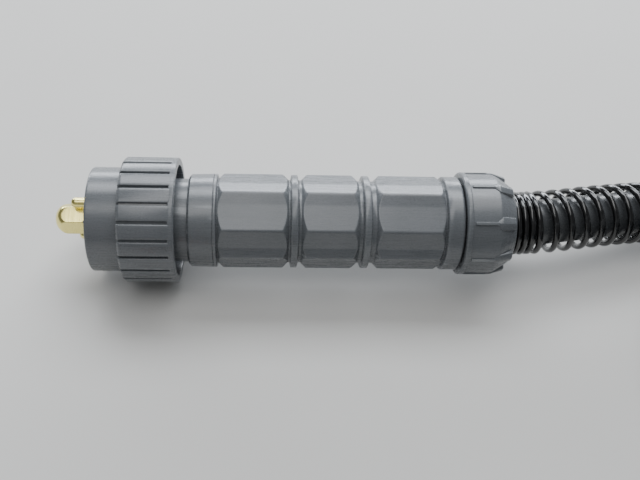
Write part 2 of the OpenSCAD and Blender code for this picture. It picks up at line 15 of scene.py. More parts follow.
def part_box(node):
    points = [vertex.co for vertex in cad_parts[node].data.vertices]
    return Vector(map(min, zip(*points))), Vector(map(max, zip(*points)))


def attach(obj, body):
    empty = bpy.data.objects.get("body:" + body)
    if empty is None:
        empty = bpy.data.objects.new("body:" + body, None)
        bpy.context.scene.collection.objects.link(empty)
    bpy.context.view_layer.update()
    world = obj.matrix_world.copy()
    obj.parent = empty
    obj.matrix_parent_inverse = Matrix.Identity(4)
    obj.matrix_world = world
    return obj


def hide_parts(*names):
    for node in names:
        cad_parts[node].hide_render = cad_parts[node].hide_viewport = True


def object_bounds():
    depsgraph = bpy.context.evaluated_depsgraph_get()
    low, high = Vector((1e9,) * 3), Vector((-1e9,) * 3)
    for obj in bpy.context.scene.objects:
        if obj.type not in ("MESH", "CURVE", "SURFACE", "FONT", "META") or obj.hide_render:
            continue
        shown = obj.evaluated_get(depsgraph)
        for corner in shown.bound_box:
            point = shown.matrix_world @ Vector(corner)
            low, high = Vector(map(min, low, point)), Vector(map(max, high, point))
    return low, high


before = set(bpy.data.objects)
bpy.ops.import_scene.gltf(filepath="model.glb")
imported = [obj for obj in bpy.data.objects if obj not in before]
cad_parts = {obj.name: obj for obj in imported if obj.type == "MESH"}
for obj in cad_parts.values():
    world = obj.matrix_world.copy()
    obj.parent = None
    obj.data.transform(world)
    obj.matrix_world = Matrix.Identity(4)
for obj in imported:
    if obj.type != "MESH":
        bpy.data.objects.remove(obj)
cad_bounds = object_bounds()
MM = 0.001
TAU = math.tau


def mm_box(node):
    return [[c / MM for c in corner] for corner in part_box(node)]


# ---------------------------------------------------------------- camera


def place_camera():
    """Looks down on the connector from in front, with the adapter nut on the left."""
    foot, distance = Vector((71 * MM, 0, 0)), 332 * MM
    lean, twist, pan, tilt = (math.radians(a) for a in (50, 0.7, -3.65, -1.36))
    back = Vector((0, -math.cos(lean), math.sin(lean)))
    right = Vector((1, 0, 0))
    level = Matrix((right, back.cross(right), back)).transposed().to_4x4()
    roll = Matrix.Rotation(twist, 4, back)
    aim = Matrix.Rotation(pan, 4, "Y") @ Matrix.Rotation(tilt, 4, "X")
    camera = bpy.data.objects.new("camera", bpy.data.cameras.new("camera"))
    camera.data.lens = 45
    camera.data.sensor_width = 36
    camera.data.clip_start = 0.005
    camera.matrix_world = Matrix.Translation(foot + distance * back) @ roll @ level @ aim
    bpy.context.collection.objects.link(camera)
    bpy.context.scene.camera = camera


place_camera()

# ---------------------------------------------------------------- node and mesh helpers


def hex_colour(code):
    """sRGB hex to linear, opaque."""
    parts = [int(code[i : i + 2], 16) / 255 for i in (1, 3, 5)]
    return [*(c / 12.92 if c <= 0.04045 else ((c + 0.055) / 1.055) ** 2.4 for c in parts), 1.0]


def feed(tree, node, inputs):
    """Links each input to the socket given for it, or sets it to the value."""
    for key, value in inputs.items():
        if isinstance(value, bpy.types.NodeSocket):
            tree.links.new(value, node.inputs[key])
        else:
            node.inputs[key].default_value = value


def add(tree, kind, inputs=None, **settings):
    """One node with its settings, its input values and its links."""
    node = tree.nodes.new(kind)
    for key, value in settings.items():
        setattr(node, key, value)
    feed(tree, node, inputs or {})
    return node


def finish_piece(obj, body, *nodes, slot=None):
    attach(obj, body)
    if nodes:
        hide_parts(*nodes)
    return obj


def object_of(name, mesh, material):
    obj = bpy.data.objects.new(name, mesh)
    bpy.context.collection.objects.link(obj)
    if material:
        mesh.materials.clear()
        mesh.materials.append(material)
    return obj


def closed_mesh(name, verts, faces, place=None, smooth=True):
    """A mesh from millimetre points, with its seams merged and its faces looking outwards."""
    mesh = bpy.data.meshes.new(name)
    mesh.from_pydata((np.asarray(verts, float) * MM).tolist(), [], faces)
    bm = bmesh.new()
    bm.from_mesh(mesh)
    bmesh.ops.remove_doubles(bm, verts=bm.verts, dist=2e-6)
    bmesh.ops.dissolve_degenerate(bm, edges=bm.edges, dist=1e-7)
    bmesh.ops.recalc_face_normals(bm, faces=bm.faces)
    if place is not None:
        bmesh.ops.transform(bm, matrix=place, verts=bm.verts)
    for face in bm.faces:
        face.smooth = smooth
    bm.to_mesh(mesh)
    bm.free()
    return mesh


def rounded(points, radius=0.3, steps=4):
    """A profile of (x, r) points with its corners rounded; a third value sets a corner's own radius."""
    made = []
    n = len(points)
    for i, point in enumerate(points):
        here = np.array(point[:2], float)
        size = point[2] if len(point) > 2 else radius
        before = np.array(points[i - 1][:2], float) - here
        after = np.array(points[(i + 1) % n][:2], float) - here
        lb, la = np.linalg.norm(before), np.linalg.norm(after)
        if size <= 0 or lb < 1e-6 or la < 1e-6 or here[1] < 1e-6:
            made.append(here)
            continue
        cut = min(size, 0.45 * lb, 0.45 * la)
        a, b = here + before / lb * cut, here + after / la * cut
        for k in range(steps + 1):
            t = k / steps
            made.append((1 - t) ** 2 * a + 2 * t * (1 - t) * here + t * t * b)
    return np.array(made)


def turned(name, loops, around=144, place=None):
    """A body of revolution about X. loops is one closed profile of (x, r), or one for each angle."""
    loops = np.asarray(loops, float)
    if loops.ndim == 2:
        loops = np.repeat(loops[None], around, axis=0)
    m, k = loops.shape[:2]
    turn = np.arange(m) / m * TAU
    verts = np.stack(
        [loops[..., 0], loops[..., 1] * np.cos(turn)[:, None], loops[..., 1] * np.sin(turn)[:, None]],
        -1,
    ).reshape(-1, 3)
    i, j = np.meshgrid(np.arange(m), np.arange(k), indexing="ij")
    ni, nj = (i + 1) % m, (j + 1) % k
    faces = np.stack([i * k + j, i * k + nj, ni * k + nj, ni * k + j], -1)
    return closed_mesh(name, verts, faces.reshape(-1, 4).tolist(), place)


def turned_piece(name, loops, material, body, node, slot, around=144, place=None):
    """A body of revolution that takes the place of its CAD node."""
    obj = object_of(name, turned(name, loops, around, place), material)
    finish_piece(obj, body, node, slot=slot)


def capped_tube(name, rings, ends):
    """A closed mesh over rings of millimetre points, with a fan at each end round that end's middle."""
    n, around = rings.shape[:2]
    i, j = np.meshgrid(np.arange(n - 1), np.arange(around), indexing="ij")
    nj = (j + 1) % around
    corners = [i * around + j, i * around + nj, (i + 1) * around + nj, (i + 1) * around + j]
    faces = np.stack(corners, -1).reshape(-1, 4).tolist()
    last = (n - 1) * around
    for k in range(around):
        faces.append([(k + 1) % around, k, n * around])
        faces.append([last + k, last + (k + 1) % around, n * around + 1])
    return closed_mesh(name, np.vstack([rings.reshape(-1, 3), ends]), faces)


def shade_crisp(bm, degrees):
    """Smooth shading with the edges steeper than this kept crisp."""
    for face in bm.faces:
        face.smooth = True
    for edge in bm.edges:
        edge.smooth = edge.is_manifold and edge.calc_face_angle(0) < math.radians(degrees)


def bevelled(mesh, width_mm, least_angle=0.0):
    """Rounds the edges that turn by least_angle or more, and shades the whole smooth."""
    bm = bmesh.new()
    bm.from_mesh(mesh)
    bmesh.ops.bevel(
        bm,
        geom=[e for e in bm.edges if e.calc_face_angle(0) >= least_angle],
        offset=width_mm * MM,
        segments=3,
        profile=0.5,
        affect="EDGES",
        clamp_overlap=True,
    )
    for face in bm.faces:
        face.smooth = True
    bm.to_mesh(mesh)
    bm.free()
    return mesh


def softened(node, width, material, body, slot, angle=32):
    """A CAD part's own shape, with its edges rounded as the real part's are."""
    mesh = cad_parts[node].data.copy()
    bm = bmesh.new()
    bm.from_mesh(mesh)
    bmesh.ops.remove_doubles(bm, verts=bm.verts, dist=2e-6)
    bmesh.ops.dissolve_limit(bm, angle_limit=math.radians(1.5), verts=bm.verts, edges=bm.edges)
    shade_crisp(bm, angle)
    bm.to_mesh(mesh)
    bm.free()
    obj = object_of(f"{node}_finished", mesh, material)
    bevel = obj.modifiers.new("worn_edge", "BEVEL")
    bevel.width = width * MM
    bevel.segments = 2
    bevel.limit_method = "ANGLE"
    bevel.angle_limit = math.radians(angle)
    bevel.use_clamp_overlap = True
    bevel.harden_normals = True
    return finish_piece(obj, body, node, slot=slot)


def grown(obj):
    """The object's evaluated shape as a plain mesh, its Geometry Nodes removed."""
    depsgraph = bpy.context.evaluated_depsgraph_get()
    mesh = bpy.data.meshes.new_from_object(obj.evaluated_get(depsgraph))
    obj.modifiers.clear()
    old, obj.data = obj.data, mesh
    mesh.name = old.name
    return obj


def with_tree(obj, tree, values):
    """Runs a Geometry Nodes tree on obj and keeps the result as its mesh."""
    modifier = obj.modifiers.new("made", "NODES")
    modifier.node_group = tree
    for socket in tree.interface.items_tree:
        if socket.item_type == "SOCKET" and socket.in_out == "INPUT":
            if socket.name in values:
                modifier[socket.identifier] = values[socket.name]
    return grown(obj)


def new_tree(name, inputs):
    """An empty Geometry Nodes tree with its named inputs, and its input and output nodes."""
    tree = bpy.data.node_groups.new(name, "GeometryNodeTree")
    tree.interface.new_socket("Geometry", in_out="INPUT", socket_type="NodeSocketGeometry")
    for label, kind in inputs:
        tree.interface.new_socket(label, in_out="INPUT", socket_type=kind)
    tree.interface.new_socket("Geometry", in_out="OUTPUT", socket_type="NodeSocketGeometry")
    return tree, add(tree, "NodeGroupInput").outputs


def end_tree(tree, geometry, finish):
    real = add(tree, "GeometryNodeRealizeInstances", {"Geometry": geometry})
    made = add(tree, "GeometryNodeSetMaterial", {"Geometry": real.outputs[0], "Material": finish})
    add(tree, "NodeGroupOutput", {"Geometry": made.outputs[0]})
    return tree


def ring_of_copies():
    """Copies of one shape set evenly round the X axis."""
    tree, given = new_tree(
        "ring_of_copies",
        [
            ("Copies", "NodeSocketInt"), ("First Angle", "NodeSocketFloat"),
            ("Finish", "NodeSocketMaterial"),
        ],
    )
    points = add(tree, "GeometryNodeMeshLine", {"Count": given["Copies"], "Offset": (0, 0, 0)})
    index = add(tree, "GeometryNodeInputIndex")
    share = add(tree, "ShaderNodeMath", {0: index.outputs[0], 1: given["Copies"]}, operation="DIVIDE")
    angle = add(
        tree, "ShaderNodeMath",
        {0: share.outputs[0], 1: TAU, 2: given["First Angle"]},
        operation="MULTIPLY_ADD",
    )
    spin = add(tree, "ShaderNodeCombineXYZ", {"X": angle.outputs[0]})
    copies = add(
        tree, "GeometryNodeInstanceOnPoints",
        {"Points": points.outputs[0], "Instance": given["Geometry"], "Rotation": spin.outputs[0]},
    )
    return end_tree(tree, copies.outputs[0], given["Finish"])


def wound_wire():
    """A wire wound round a centre line: closed turns, then open ones, then closed ones."""
    lengths = [
        "Start", "Open From", "Close From", "End", "Closed Pitch", "Open Pitch", "Coil Radius",
        "Wire Radius",
    ]
    tree, given = new_tree(
        "wound_wire",
        [(label, "NodeSocketFloat") for label in lengths]
        + [("Points", "NodeSocketInt"), ("Finish", "NodeSocketMaterial")],
    )
    centre = add(tree, "GeometryNodeMeshToCurve", {"Mesh": given["Geometry"]})
    line = add(tree, "GeometryNodeMeshLine", {"Count": given["Points"], "Offset": (0, 0, 0)})
    index = add(tree, "GeometryNodeInputIndex")
    reach = add(
        tree, "ShaderNodeMapRange",
        {
            "Value": index.outputs[0],
            "From Min": 0.0,
            "From Max": given["Points"],
            "To Min": given["Start"],
            "To Max": given["End"],
        },
    )
    turns = 0.0
    for low, high, pitch in (
        ("Start", "Open From", "Closed Pitch"),
        ("Open From", "Close From", "Open Pitch"),
        ("Close From", "End", "Closed Pitch"),
    ):
        inside = add(
            tree, "ShaderNodeClamp", {"Value": reach.outputs[0], "Min": given[low], "Max": given[high]}
        )
        run = add(tree, "ShaderNodeMath", {0: inside.outputs[0], 1: given[low]}, operation="SUBTRACT")
        part = add(tree, "ShaderNodeMath", {0: run.outputs[0], 1: given[pitch]}, operation="DIVIDE")
        total = add(tree, "ShaderNodeMath", {0: turns, 1: part.outputs[0]}, operation="ADD")
        turns = total.outputs[0]
    angle = add(tree, "ShaderNodeMath", {0: turns, 1: TAU}, operation="MULTIPLY")
    on_line = add(
        tree, "GeometryNodeSampleCurve",
        {"Curves": centre.outputs[0], "Length": reach.outputs[0]},
        mode="LENGTH",
    )
    swing = add(
        tree, "ShaderNodeVectorRotate",
        {
            "Vector": on_line.outputs["Normal"],
            "Axis": on_line.outputs["Tangent"],
            "Angle": angle.outputs[0],
        },
        rotation_type="AXIS_ANGLE",
    )
    out = add(
        tree, "ShaderNodeVectorMath",
        {0: swing.outputs[0], "Scale": given["Coil Radius"]},
        operation="SCALE",
    )
    place = add(
        tree, "ShaderNodeVectorMath",
        {0: on_line.outputs["Position"], 1: out.outputs[0]},
        operation="ADD",
    )
    moved = add(
        tree, "GeometryNodeSetPosition", {"Geometry": line.outputs[0], "Position": place.outputs[0]}
    )
    wire = add(tree, "GeometryNodeMeshToCurve", {"Mesh": moved.outputs[0]})
    section = add(
        tree, "GeometryNodeCurvePrimitiveCircle", {"Resolution": 14, "Radius": given["Wire Radius"]}
    )
    swept = add(
        tree, "GeometryNodeCurveToMesh",
        {"Curve": wire.outputs[0], "Profile Curve": section.outputs[0], "Fill Caps": True},
    )
    shaded = add(tree, "GeometryNodeSetShadeSmooth", {"Geometry": swept.outputs[0]})
    return end_tree(tree, shaded.outputs[0], given["Finish"])

# ---------------------------------------------------------------- finishes


def new_finish(name):
    material = bpy.data.materials.new(name)
    material.use_nodes = True
    tree = material.node_tree
    tree.nodes.clear()
    shader = add(tree, "ShaderNodeBsdfPrincipled")
    add(tree, "ShaderNodeOutputMaterial", {"Surface": shader.outputs[0]})
    place = add(tree, "ShaderNodeTexCoord").outputs["Object"]
    return material, tree, shader, place


def mottle(tree, place, size_mm, detail=3.0, stretch=(1, 1, 1)):
    """Noise whose blotches are about size_mm across."""
    scaled = add(tree, "ShaderNodeMapping", {"Vector": place, "Scale": stretch})
    return add(
        tree, "ShaderNodeTexNoise",
        {
            "Vector": scaled.outputs[0],
            "Scale": 1 / (size_mm * MM),
            "Detail": detail,
            "Roughness": 0.55,
        },
    ).outputs["Fac"]


def spread(tree, value, low, high, start=0.3, stop=0.7):
    return add(
        tree, "ShaderNodeMapRange",
        {"Value": value, "From Min": start, "From Max": stop, "To Min": low, "To Max": high},
    ).outputs[0]


def tint(tree, share, first, second):
    mix = add(tree, "ShaderNodeMix", {0: share}, data_type="RGBA")
    mix.inputs[6].default_value = hex_colour(first)
    mix.inputs[7].default_value = hex_colour(second)
    return mix.outputs[2]


def relief(tree, height, depth_mm, strength=1.0, over=None):
    inputs = {"Height": height, "Strength": strength, "Distance": depth_mm * MM}
    if over is not None:
        inputs["Normal"] = over
    return add(tree, "ShaderNodeBump", inputs).outputs[0]


def moulded_nylon(name, main, lighter, rubbed, gloss=0.36):
    """Glass-filled nylon moulding: satin, faintly flow-marked along its length, with a fine
    spark-eroded grain, and paler where hands and benches have rubbed its edges."""
    material, tree, shader, place = new_finish(name)
    broad = mottle(tree, place, 14)
    flow = mottle(tree, place, 1.1, 4, (0.12, 1, 1))
    # The real grain is about 0.05 mm; it is drawn at 0.35 mm so that it shows.
    grain = mottle(tree, place, 0.35, 2)
    body = tint(tree, spread(tree, broad, 0.0, 1.0), main, lighter)
    edges = add(tree, "ShaderNodeNewGeometry").outputs["Pointiness"]
    breakup = mottle(tree, place, 2.5, 5)
    worn = add(
        tree, "ShaderNodeMath",
        {0: spread(tree, edges, 0.0, 0.75, 0.53, 0.62), 1: spread(tree, breakup, 0.3, 1)},
        operation="MULTIPLY",
    )
    rub = add(tree, "ShaderNodeMix", {0: worn.outputs[0], 6: body}, data_type="RGBA")
    rub.inputs[7].default_value = hex_colour(rubbed)
    mixed = add(tree, "ShaderNodeMath", {0: flow, 1: grain}, operation="ADD")
    fine = relief(tree, grain, 0.012, 0.6)
    look = {
        "Base Color": rub.outputs[2],
        "Roughness": spread(tree, mixed.outputs[0], gloss - 0.03, gloss + 0.05, 0.8, 1.2),
        "Normal": relief(tree, flow, 0.012, 0.3, fine),
        "IOR": 1.53,
        "Specular IOR Level": 0.6,
    }
    feed(tree, shader, look)
    return material


def turned_metal(name, main, deeper, roughness, ring_mm=0.4, tarnish=0.35, stretch=(1, 0.03, 0.03)):
    """Metal with tool rings round the X axis and a slight handling tarnish. A long ring_mm and an even
    stretch give drawn tube instead, which has only broad, soft waves."""
    material, tree, shader, place = new_finish(name)
    # A lathe's feed marks are near 0.1 mm apart; they are drawn wider so that they show.
    rings = mottle(tree, place, ring_mm, 1, stretch)
    cloud = mottle(tree, place, 5, 5)
    spots = mottle(tree, place, 0.9, 3)
    stain = add(
        tree, "ShaderNodeMath",
        {0: spread(tree, cloud, 0, tarnish), 1: spread(tree, spots, 0.5, 1)},
        operation="MULTIPLY",
    )
    look = {
        "Base Color": tint(tree, stain.outputs[0], main, deeper),
        "Roughness": spread(tree, rings, roughness - 0.06, roughness + 0.1),
        "Normal": relief(tree, rings, 0.01, 0.5),
        "Metallic": 1.0,
    }
    feed(tree, shader, look)
    return material


def lacquered_wire(name, main, worn):
    """Spring steel dipped in black lacquer: deep gloss with soft runs and a few dulled rubs."""
    material, tree, shader, place = new_finish(name)
    runs = mottle(tree, place, 1.8, 2)
    rubs = mottle(tree, place, 3.2, 6)
    look = {
        "Base Color": tint(tree, spread(tree, rubs, 0, 1, 0.56, 0.75), main, worn),
        "Roughness": spread(tree, rubs, 0.13, 0.34, 0.45, 0.75),
        "Normal": relief(tree, runs, 0.012, 0.25),
        "Coat Weight": 0.5,
        "Coat Roughness": 0.12,
    }
    feed(tree, shader, look)
    return material


def extruded_rubber(name, main, lighter, gloss, draw=(0.05, 1, 1)):
    """Extruded cable rubber: a smooth slightly waxy skin with fine lines drawn along it and a haze
    of scuffs."""
    material, tree, shader, place = new_finish(name)
    haze = mottle(tree, place, 9, 5)
    lines = mottle(tree, place, 0.8, 2, draw)
    scuff = mottle(tree, place, 1.6, 6)
    both = add(tree, "ShaderNodeMath", {0: haze, 1: scuff}, operation="ADD")
    low = relief(tree, lines, 0.02, 0.35)
    look = {
        "Base Color": tint(tree, spread(tree, haze, 0, 1), main, lighter),
        "Roughness": spread(tree, both.outputs[0], gloss - 0.02, gloss + 0.06, 0.8, 1.3),
        "Normal": relief(tree, scuff, 0.008, 0.25, low),
        "IOR": 1.5,
    }
    feed(tree, shader, look)
    return material


def woven_strap(name, main, lighter):
    """Woven nylon hook-and-loop tape: a plain weave of about 0.6 mm with a soft nap."""
    material, tree, shader, place = new_finish(name)
    thread_mm = 0.6
    waves = {"Vector": place, "Scale": 2 / (thread_mm * MM) / TAU, "Distortion": 0.6}
    weave = [
        add(tree, "ShaderNodeTexWave", waves, bands_direction=direction).outputs["Fac"]
        for direction in ("X", "Z")
    ]
    cloth = add(tree, "ShaderNodeMath", {0: weave[0], 1: weave[1]}, operation="MULTIPLY")
    nap = mottle(tree, place, 0.7, 4)
    low = relief(tree, cloth.outputs[0], 0.12, 0.6)
    look = {
        "Base Color": tint(tree, spread(tree, nap, 0, 1), main, lighter),
        "Roughness": 0.86,
        "Normal": relief(tree, nap, 0.1, 0.5, low),
        "Sheen Weight": 0.35,
        "Sheen Roughness": 0.4,
    }
    feed(tree, shader, look)
    return material


def laminate(name, main, deeper):
    """Phenolic-bonded fibre: brown, matt, with layers of cloth showing across it."""
    material, tree, shader, place = new_finish(name)
    layers = mottle(tree, place, 0.9, 2, (1, 0.1, 0.1))
    flecks = mottle(tree, place, 0.5, 4)
    both = add(tree, "ShaderNodeMath", {0: layers, 1: flecks}, operation="MULTIPLY")
    look = {
        "Base Color": tint(tree, spread(tree, both.outputs[0], 0, 1, 0.15, 0.4), main, deeper),
        "Roughness": spread(tree, flecks, 0.5, 0.7),
        "Normal": relief(tree, both.outputs[0], 0.03, 0.5),
    }
    feed(tree, shader, look)
    return material


GREY_NYLON = moulded_nylon("grey_nylon_moulding", "#5f6366", "#66696d", "#9ea2a5", 0.27)
HANDLE_NYLON = moulded_nylon("handle_nylon_moulding", "#5c6166", "#666b70", "#92979c", 0.42)
BLACK_NYLON = moulded_nylon("black_nylon_moulding", "#202224", "#2a2c2e", "#4c4f52", 0.4)
RED_NYLON = moulded_nylon("red_nylon_moulding", "#a11c1a", "#b22822", "#cf6a5e", 0.34)
PALE_BRASS = turned_metal("pale_machined_brass", "#fdf1a0", "#eed672", 0.2)
BRASS = turned_metal("turned_brass", "#dcb95c", "#a98334", 0.3)
COPPER = turned_metal("drawn_copper", "#d98e68", "#b06a4a", 0.3, 40.0, 0.15, (1, 1, 1))
STEEL = turned_metal("zinc_plated_steel", "#c3c6c9", "#8e9298", 0.28)
WIRE_LACQUER = lacquered_wire("black_lacquered_spring", "#0b0b0c", "#2b2c2e")
CABLE_RUBBER = extruded_rubber("cable_rubber", "#3f4143", "#454749", 0.26)
BOOT_RUBBER = extruded_rubber("boot_rubber", "#18191a", "#222426", 0.5, (1, 1, 1))
SLEEVE_RUBBER = extruded_rubber("neck_sleeve_rubber", "#141516", "#1e1f21", 0.42, (1, 1, 1))
TAPE = woven_strap("woven_tie_tape", "#141516", "#25272a")
FIBRE = laminate("phenolic_fibre", "#7c4a26", "#4e2a14")
INSULATION = extruded_rubber("wire_insulation", "#a8241f", "#bd362c", 0.4)

# Parts that keep their CAD shape, mostly inside the torch
CARRIED_OVER = {
    "wire_liner": STEEL, "contact_spring_top": STEEL, "contact_spring_bottom": STEEL,
    "contact_terminals": BRASS, "control_wires": INSULATION, "thrust_washer": STEEL,
    "union_nut": BRASS, "cable_crimp": BRASS, "cable_end": CABLE_RUBBER, "spring_seat": BLACK_NYLON,
    "cable_clamp": BRASS, "neck_connector": BRASS, "trigger_pin": STEEL, "trigger_spring": STEEL,
    "switch_body": BLACK_NYLON, "switch_plunger": RED_NYLON, "swan_neck": BRASS, "gas_diffuser": BRASS,
    "tip_holder": BRASS, "nozzle_spring": STEEL,
}
for node, finish in CARRIED_OVER.items():
    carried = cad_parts[node]
    if not carried.material_slots:
        carried.data.materials.append(finish)
    for one in carried.material_slots:
        one.material = finish

# ---------------------------------------------------------------- cable

# The cable's resting line, in millimetres, as the CAD source has it
RUN = [
    (150, 0, 0), (160, 0, 0), (170, 0.2, 0), (182, 0.9, 0), (195, 2.8, -0.3), (208, 5.4, -1),
    (222, 8.5, -2.6), (236, 12.2, -5.4), (250, 16.2, -9), (264, 20.5, -12.4), (278, 25.2, -14.9),
    (292, 30.2, -15.9), (302, 33.8, -16),
]
TAIL = [
    (346, -182.2, 3), (336, -183, 3), (326, -184.2, 2.2), (316, -185, 0.2), (306, -185, -2.9),
    (297, -184.3, -6), (289, -183.2, -8), (281, -182.3, -8.5), (270, -182, -8.5), (258, -182, -8.5),
    (246, -182, -8.5),
]
CABLE_R = 9.5


def coil_line():
    """Two turns side by side on the table and two on top, wound in from the run and out to the torch.
    Each cosine ramp takes the cable to its next place where the turns below leave room."""
    ring = mm_box("cable_coil")
    centre_x = (ring[0][0] + ring[1][0]) / 2
    centre_y = (ring[0][1] + ring[1][1]) / 2
    outer = (ring[1][0] - ring[0][0]) / 2 - CABLE_R
    low = ring[0][2] + CABLE_R

    def ramp(turned_by, start, stop):
        share = np.clip((turned_by - start) / (stop - start), 0, 1)
        return (1 - np.cos(math.pi * share)) / 2

    whole_turn, coil_start = 1282, 112  # degrees wound in all, and where the run meets the coil
    by = np.linspace(0, whole_turn, 330)
    step = 2 * CABLE_R
    radius = outer - step * ramp(by, 290, 360) + step * ramp(by, 920, 980)
    height = low + step * ramp(by, 600, 670)
    angle = np.radians(coil_start - by)
    return np.stack([centre_x + radius * np.cos(angle), centre_y + radius * np.sin(angle), height], 1)


def evenly(points, step):
    """Points a fixed distance apart on a smooth line through the given ones."""
    points = np.asarray(points, float)
    ends = np.vstack([2 * points[0] - points[1], points, 2 * points[-1] - points[-2]])
    fine = []
    for a, b, c, d in zip(ends, ends[1:], ends[2:], ends[3:]):
        t = np.linspace(0, 1, 12, endpoint=False)[:, None]
        fine.append(
            0.5
            * (
                2 * b
                + (c - a) * t
                + (2 * a - 5 * b + 4 * c - d) * t**2
                + (3 * b - a - 3 * c + d) * t**3
            )
        )
    fine = np.vstack([*fine, points[-1:]])
    travelled = np.concatenate([[0], np.cumsum(np.linalg.norm(np.diff(fine, axis=0), axis=1))])
    at = np.linspace(0, travelled[-1], max(2, round(travelled[-1] / step) + 1))
    return np.stack([np.interp(at, travelled, fine[:, k]) for k in range(3)], 1)


def swept(name, line, radius, around=32):
    """A round tube along a line of millimetre points, with closed ends. radius may change along it."""
    line = np.asarray(line, float)
    radius = np.broadcast_to(np.asarray(radius, float), (len(line),))
    heading = np.gradient(line, axis=0)
    heading /= np.linalg.norm(heading, axis=1)[:, None]
    up = np.array([0, 0, 1.0])
    turn = (np.arange(around) / around * TAU)[:, None]
    rings = []
    for point, way, size in zip(line, heading, radius):
        side = np.cross(up, way)
        side /= np.linalg.norm(side)
        up = np.cross(way, side)
        rings.append(point + size * (np.cos(turn) * side + np.sin(turn) * up))
    return capped_tube(name, np.array(rings), [line[0], line[-1]])


cable_line = evenly(np.vstack([RUN, coil_line(), TAIL]), 5)
cable = object_of("cable", swept("cable", cable_line, CABLE_R), CABLE_RUBBER)
finish_piece(cable, "torch", "cable_run", "cable_coil", "cable_tail", slot="rubber")

# ---------------------------------------------------------------- adapter nut

RING_TREE = ring_of_copies()
WIRE_TREE = wound_wire()


def block(name, outline, x0, x1, bevel_mm=0.35, taper=0.0):
    """A bar along X whose (y, z) section is outline, drawn in at its ends by taper, edges bevelled."""
    n = len(outline)
    middle = np.mean(outline, axis=0)
    verts = []
    for x, share in ((x0, 1), (x0 + taper, 0), (x1, 0)):
        for y, z in outline:
            verts.append((x, y, z - share * taper if z > middle[1] else z))
    faces = [list(range(n))[::-1], list(range(2 * n, 3 * n))]
    for ring in (0, 1):
        for k in range(n):
            a, b = ring * n + k, ring * n + (k + 1) % n
            faces.append([a, b, b + n, a + n])
    return bevelled(closed_mesh(name, verts, faces, smooth=False), bevel_mm, 0.35)


def arc_section(radius, depth, width, steps=6):
    """A curved-topped section, width across, standing at the top (+Z) of a circle."""
    half = math.asin(width / 2 / radius)
    top = [(radius * math.sin(t), radius * math.cos(t)) for t in np.linspace(-half, half, steps)]
    base = (radius - depth) / radius
    return top[::-1] + [(y * base, z * base) for y, z in top]


def joined(name, objs, body, *nodes, slot=None):
    """Several finished meshes as one piece."""
    bm = bmesh.new()
    finishes = []
    for obj in objs:
        start = len(bm.faces)
        bm.from_mesh(obj.data)
        bm.faces.ensure_lookup_table()
        material = obj.data.materials[0]
        if material not in finishes:
            finishes.append(material)
        for face in bm.faces[start:]:
            face.material_index = finishes.index(material)
        bpy.data.objects.remove(obj)
    mesh = bpy.data.meshes.new(name)
    bm.to_mesh(mesh)
    bm.free()
    for material in finishes:
        mesh.materials.append(material)
    obj = bpy.data.objects.new(name, mesh)
    bpy.context.collection.objects.link(obj)
    return finish_piece(obj, body, *nodes, slot=slot)


NUT_RIBS = 22
_, NUT_HI = mm_box("adapter_nut")
NUT_R = NUT_HI[1]
NUT_END = NUT_HI[0]
NUT_RING_R = NUT_R - 4.3
NUT_STEP = 12.8
THREAD_R = NUT_R - 7.7
SKIRT_R = NUT_R - 3
GRIP_ROOT_R = NUT_R - 1.25
COLLAR_BORE_R = 14.05
WEB_FRONT, WEB_BACK = 13.9, 17.9


def nut_thread(start, stop, pitch=2.0, depth=0.55):
    """The thread inside the nut, as a wave along its bore."""
    made = []
    x = start
    while x > stop + pitch:
        made += [
            (x, THREAD_R + depth, 0), (x - pitch * 0.35, THREAD_R, 0.15),
            (x - pitch * 0.55, THREAD_R, 0.15), (x - pitch * 0.9, THREAD_R + depth, 0),
        ]
        x -= pitch
    return made


nut_core = turned(
    "nut_core",
    rounded(
        [
            (0, THREAD_R + 1.2, 0.4), (0, NUT_RING_R, 2.1), (NUT_STEP - 0.1, NUT_RING_R, 0.25),
            (NUT_STEP - 0.1, NUT_R - 1.9, 0.3), (NUT_STEP + 0.9, GRIP_ROOT_R, 0.3),
            (NUT_END - 2.3, GRIP_ROOT_R, 0.25), (NUT_END - 2.2, NUT_R - 0.05, 0.35),
            (NUT_END, NUT_R - 0.05, 0.6), (NUT_END, SKIRT_R, 0.4), (WEB_BACK, SKIRT_R, 0.5),
            (WEB_BACK, COLLAR_BORE_R, 0.2), (WEB_FRONT, COLLAR_BORE_R, 0.2),
            (WEB_FRONT, THREAD_R + 0.5, 0.3), *nut_thread(12.6, 1.4), (1.2, THREAD_R + 0.5, 0.2),
        ],
        0.3, 5,
    ),
    around=180,
)
nut_core = object_of("nut_core", nut_core, GREY_NYLON)
rib_pitch = TAU / NUT_RIBS
rib = object_of(
    "nut_ribs",
    block(
        "nut_rib",
        arc_section(NUT_R, 2.2, NUT_R * rib_pitch - 1.25),
        NUT_STEP - 0.1, NUT_END - 1.4,
        bevel_mm=0.42,
        taper=1.0,
    ),
    GREY_NYLON,
)
# Turned so that each rib stands midway between two of the CAD nut's grooves
RIB_TURN = math.radians(2.1)
with_tree(rib, RING_TREE, {"Copies": NUT_RIBS, "First Angle": RIB_TURN, "Finish": GREY_NYLON})
joined("adapter_nut_moulding", [nut_core, rib], "nut", "adapter_nut", slot="grey_plastic")

# ---------------------------------------------------------------- plug

LINER_LO, LINER_HI = mm_box("liner_nut")
LINER_FLATS = 11.2
WIRE_HOLE_R = 1.3


